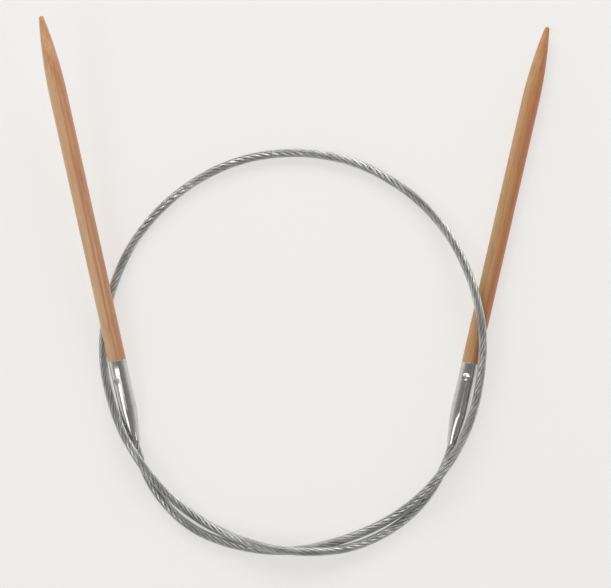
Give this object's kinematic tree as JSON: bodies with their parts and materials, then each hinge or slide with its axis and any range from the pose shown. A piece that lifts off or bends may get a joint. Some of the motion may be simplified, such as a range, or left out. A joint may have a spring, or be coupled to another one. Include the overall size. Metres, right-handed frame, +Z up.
{
  "type": "circular knitting needle",
  "caption": "Fixed circular knitting needle: turned bamboo points in tapered metal ferrules, joined by a coated steel cable laid in an open loop.",
  "frame": {"origin": "on the table, under the middle of the two points and their ferrules", "axes": "+Y from the cable's loop towards the tips, +X from the left point to the right one, +Z up"},
  "size_m": [0.1576, 0.1667, 0.0161],
  "materials": {
    "bamboo": "satin, longitudinal grain",
    "ferrule_metal": "polished nickel plate",
    "stop_metal": "swaged",
    "rope_steel": "bright twisted strands",
    "clear_coat": "clear, smooth"
  },
  "bodies": {
    "cable": {"cable_core": "rope_steel", "cable_jacket": "clear_coat", "end_stop_left": "stop_metal", "end_stop_right": "stop_metal"},
    "needle_left": {"shaft_left": "bamboo", "ferrule_left": "ferrule_metal"},
    "needle_right": {"shaft_right": "bamboo", "ferrule_right": "ferrule_metal"}
  },
  "joints": [
    {"name": "left_swivel", "type": "hinge", "parent": "cable", "child": "needle_left", "pos_m": [-0.05113, -0.06457, 0.00181], "axis": [-0.2018, 0.9744, 0.0994], "continuous": true},
    {"name": "right_swivel", "type": "hinge", "parent": "cable", "child": "needle_right", "pos_m": [0.04827, -0.06567, 0.00275], "axis": [0.2233, 0.9748, 0], "continuous": true}
  ]
}
